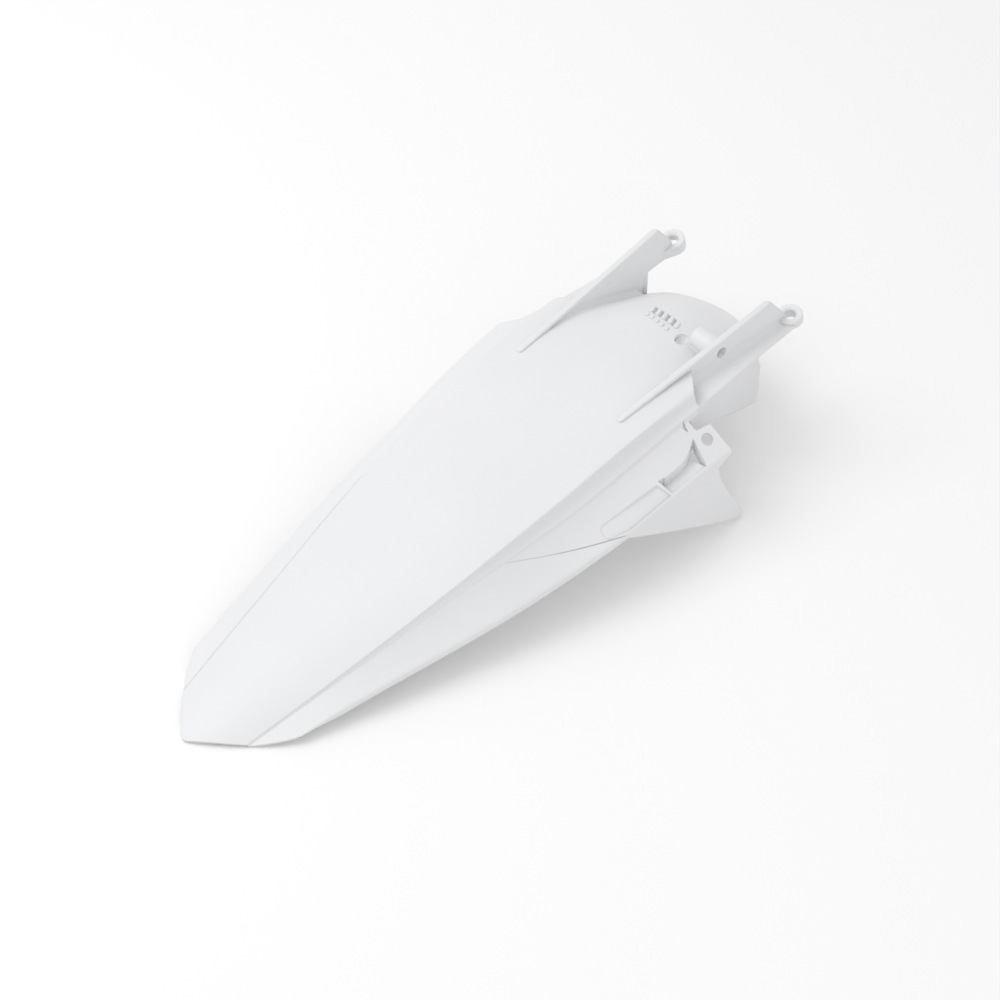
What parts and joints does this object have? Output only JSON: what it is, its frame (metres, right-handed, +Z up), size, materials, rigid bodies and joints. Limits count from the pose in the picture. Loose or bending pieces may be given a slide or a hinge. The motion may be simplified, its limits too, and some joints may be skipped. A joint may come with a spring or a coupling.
{
  "type": "motorcycle rear fender",
  "caption": "Moulded white rear fender for an off-road motorcycle, with a crowned tail, stepped flanks, side wings and front arms that end in bolt eyes.",
  "frame": {"origin": "bottom centre of the bounding box, on the floor the fender lies on", "axes": "+X forward to the bolt eyes, +Y to the rider's left, +Z up"},
  "size_m": [0.7408, 0.316, 0.1688],
  "materials": {
    "shell": "satin moulded polypropylene"
  },
  "bodies": {
    "root": {"rear_fender": "shell"}
  },
  "joints": []
}
